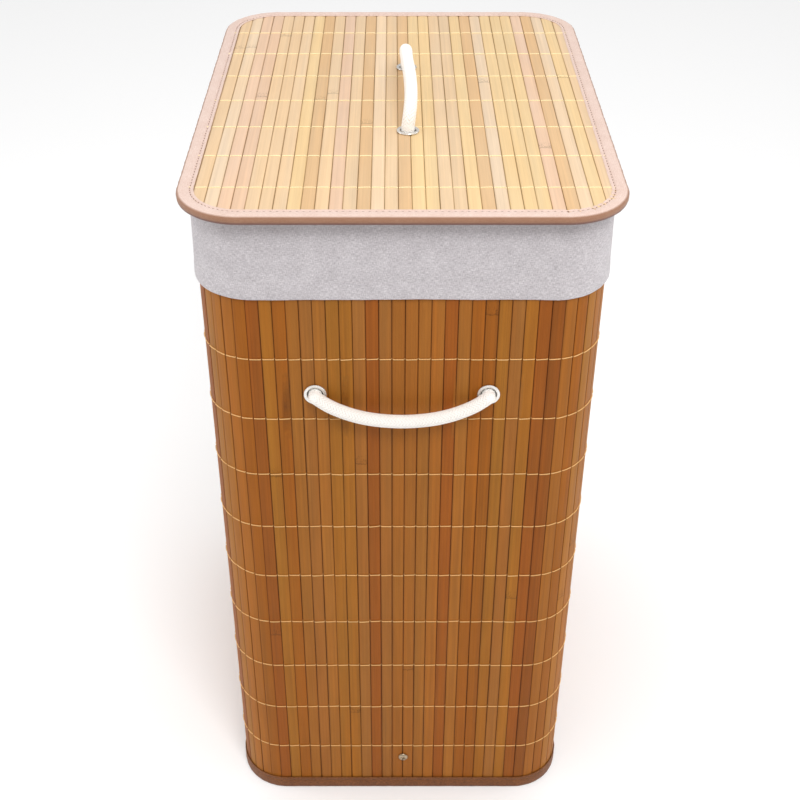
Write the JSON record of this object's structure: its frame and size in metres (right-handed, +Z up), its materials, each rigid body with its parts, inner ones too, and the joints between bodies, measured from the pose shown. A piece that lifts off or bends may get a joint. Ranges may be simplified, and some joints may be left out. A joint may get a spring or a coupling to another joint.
{
  "type": "laundry hamper",
  "caption": "Tall rectangular bamboo-slat laundry hamper with a cloth liner folded over the rim, a lift-off slatted lid and braided rope handles in metal eyelets.",
  "frame": {"origin": "middle of the hamper's footprint, on the floor", "axes": "+Z up, X across the hamper's narrow way, Y along its length; the front narrow wall faces -Y"},
  "size_m": [0.334, 0.4484, 0.6829],
  "materials": {
    "body_bamboo": "oiled caramel bamboo slats, satin",
    "lid_bamboo": "honey bamboo slats, satin",
    "backing_cloth": "matt glued cloth",
    "fibreboard": "matt pressed fibreboard",
    "batten_pine": "planed softwood, matt",
    "body_binding": "brown twill tape",
    "lid_binding": "pinkish beige twill tape",
    "liner_cloth": "light grey heathered polycotton",
    "cotton_rope": "braided natural white cotton",
    "nickel": "bright nickel plate, slightly dulled",
    "hoop_steel": "drawn wire"
  },
  "bodies": {
    "basket": {"wall_mat": "body_bamboo", "wall_backing": "backing_cloth", "wall_seam_tape": "backing_cloth", "rim_hoop": "hoop_steel", "rim_binding": "body_binding", "bottom_binding": "body_binding", "base_board": "fibreboard", "base_batten_front": "batten_pine", "base_batten_back": "batten_pine", "base_batten_left": "batten_pine", "base_batten_right": "batten_pine", "base_screw_front": "nickel", "base_screw_back": "nickel", "base_screw_left_front": "nickel", "base_screw_left_back": "nickel", "base_screw_right_front": "nickel", "base_screw_right_back": "nickel", "side_eyelet_front_left": "nickel", "side_eyelet_front_right": "nickel", "side_eyelet_back_left": "nickel", "side_eyelet_back_right": "nickel", "side_eyelet_washer_front_left": "nickel", "side_eyelet_washer_front_right": "nickel", "side_eyelet_washer_back_left": "nickel", "side_eyelet_washer_back_right": "nickel", "side_rope_knot_front_left": "cotton_rope", "side_rope_knot_front_right": "cotton_rope", "side_rope_knot_back_left": "cotton_rope", "side_rope_knot_back_right": "cotton_rope"},
    "liner": {"liner_bag": "liner_cloth"},
    "lid": {"lid_mat": "lid_bamboo", "lid_board": "fibreboard", "lid_lining": "liner_cloth", "lid_binding": "lid_binding", "lid_eyelet_front": "nickel", "lid_eyelet_back": "nickel", "lid_eyelet_washer_front": "nickel", "lid_eyelet_washer_back": "nickel", "lid_rope_knot_front": "cotton_rope", "lid_rope_knot_back": "cotton_rope"},
    "handle_front": {"handle_front_rope": "cotton_rope"},
    "handle_back": {"handle_back_rope": "cotton_rope"},
    "lid_handle": {"lid_handle_rope": "cotton_rope"}
  },
  "joints": [
    {"name": "liner_lift", "type": "slide", "parent": "basket", "child": "liner", "axis": [0, 0, 1], "range_m": [0, 0.6]},
    {"name": "lid_lift", "type": "slide", "parent": "liner", "child": "lid", "axis": [0, 0, 1], "range_m": [0, 0.25]},
    {"name": "handle_front_swing", "type": "hinge", "parent": "basket", "child": "handle_front", "pos_m": [0, -0.2091, 0.484], "axis": [-1, 0, 0], "range_deg": [0, 112]},
    {"name": "handle_back_swing", "type": "hinge", "parent": "basket", "child": "handle_back", "pos_m": [0, 0.2091, 0.484], "axis": [1, 0, 0], "range_deg": [0, 112]},
    {"name": "lid_handle_tilt", "type": "hinge", "parent": "lid", "child": "lid_handle", "pos_m": [0.005, 0, 0.6517], "axis": [0, 1, 0], "range_deg": [-68, 52], "stiffness_Nm_per_rad": 0.02}
  ]
}
